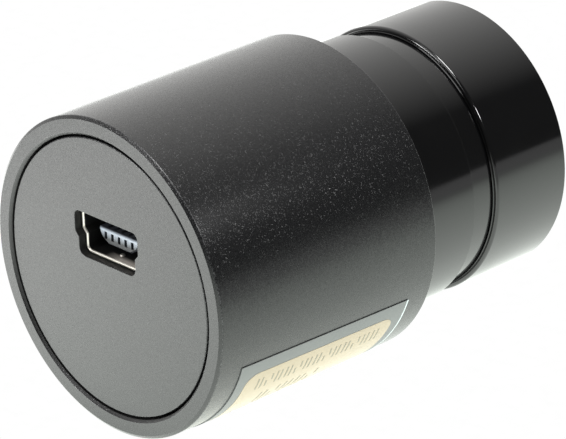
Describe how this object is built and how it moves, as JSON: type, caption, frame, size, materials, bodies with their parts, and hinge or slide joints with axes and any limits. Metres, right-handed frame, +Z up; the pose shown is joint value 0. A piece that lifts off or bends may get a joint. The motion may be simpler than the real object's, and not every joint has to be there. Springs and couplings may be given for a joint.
{
  "type": "guide camera",
  "caption": "Cylindrical guide camera with a 23.2 mm push-in nose, screw-on nose sleeve, undercut and a mini-USB socket in its rear cover.",
  "frame": {"origin": "centre of the body's front shoulder, on the optical axis, where the push-in nose starts", "axes": "+Y along the optical axis towards the nose's front, +Z up, square to the level main board and the USB socket's wide side, +X to the right seen from behind"},
  "size_m": [0.027, 0.0403, 0.0271],
  "materials": {
    "body_anodise": "bead-blasted, black anodised, fine sparkle",
    "nose_anodise": "fine-turned, semi-gloss black anodised",
    "adhesive_tape": "thin black double-sided tape",
    "nylon": "natural nylon",
    "black_rubber": "soft matte",
    "filter_glass": "polished, infrared-cut coating",
    "black_plastic": "moulded matte",
    "circuit_board": "green solder mask",
    "screw_steel": "zinc-plated",
    "ceramic": "fired ceramic",
    "silicon": "polished with colour filters",
    "sensor_glass": "polished",
    "contact_gold": "gold plated",
    "shell_plating": "stamped steel, nickel plated",
    "socket_plastic": "moulded, pale grey-blue",
    "chip_resin": "moulded resin",
    "ferrite": "sintered",
    "capacitor_ceramic": "fired ceramic",
    "label_foil": "silver foil with a printed gold panel"
  },
  "bodies": {
    "camera": {"housing": "body_anodise", "rear_cover": "body_anodise", "cover_adhesive_ring": "adhesive_tape", "front_tube": "nose_anodise", "filter_gasket": "black_rubber", "ir_filter_glass": "filter_glass", "filter_retainer_ring": "nose_anodise", "sensor_spacer": "black_plastic", "sensor_board": "circuit_board", "sensor_screws": "screw_steel", "sensor_package": "ceramic", "sensor_die": "silicon", "sensor_cover_glass": "sensor_glass", "sensor_mask": "black_plastic", "header_block": "black_plastic", "header_pins": "contact_gold", "main_board": "circuit_board", "board_rail_left": "black_plastic", "board_rail_right": "black_plastic", "usb_shell": "shell_plating", "usb_insulator": "socket_plastic", "usb_contacts": "contact_gold", "controller_chip": "chip_resin", "memory_chip": "chip_resin", "crystal_can": "shell_plating", "voltage_regulator": "chip_resin", "power_inductor": "ferrite", "ceramic_capacitors": "capacitor_ceramic", "chip_resistors": "chip_resin", "label_plate": "label_foil"},
    "washer": {"nose_washer": "nylon"},
    "nose": {"nose_sleeve": "nose_anodise"}
  },
  "joints": [
    {"name": "nose_advance", "type": "slide", "parent": "camera", "child": "washer", "axis": [0, 1, 0], "range_m": [0, 0.003]},
    {"name": "nose_turn", "type": "hinge", "parent": "washer", "child": "nose", "pos_m": [0, 0.01326, 0], "axis": [0, 1, 0], "range_deg": [0, 2160]}
  ],
  "couplings": [
    {"joint": "nose_advance", "follows": "nose_turn", "m_per_rad": 0.000079577}
  ]
}
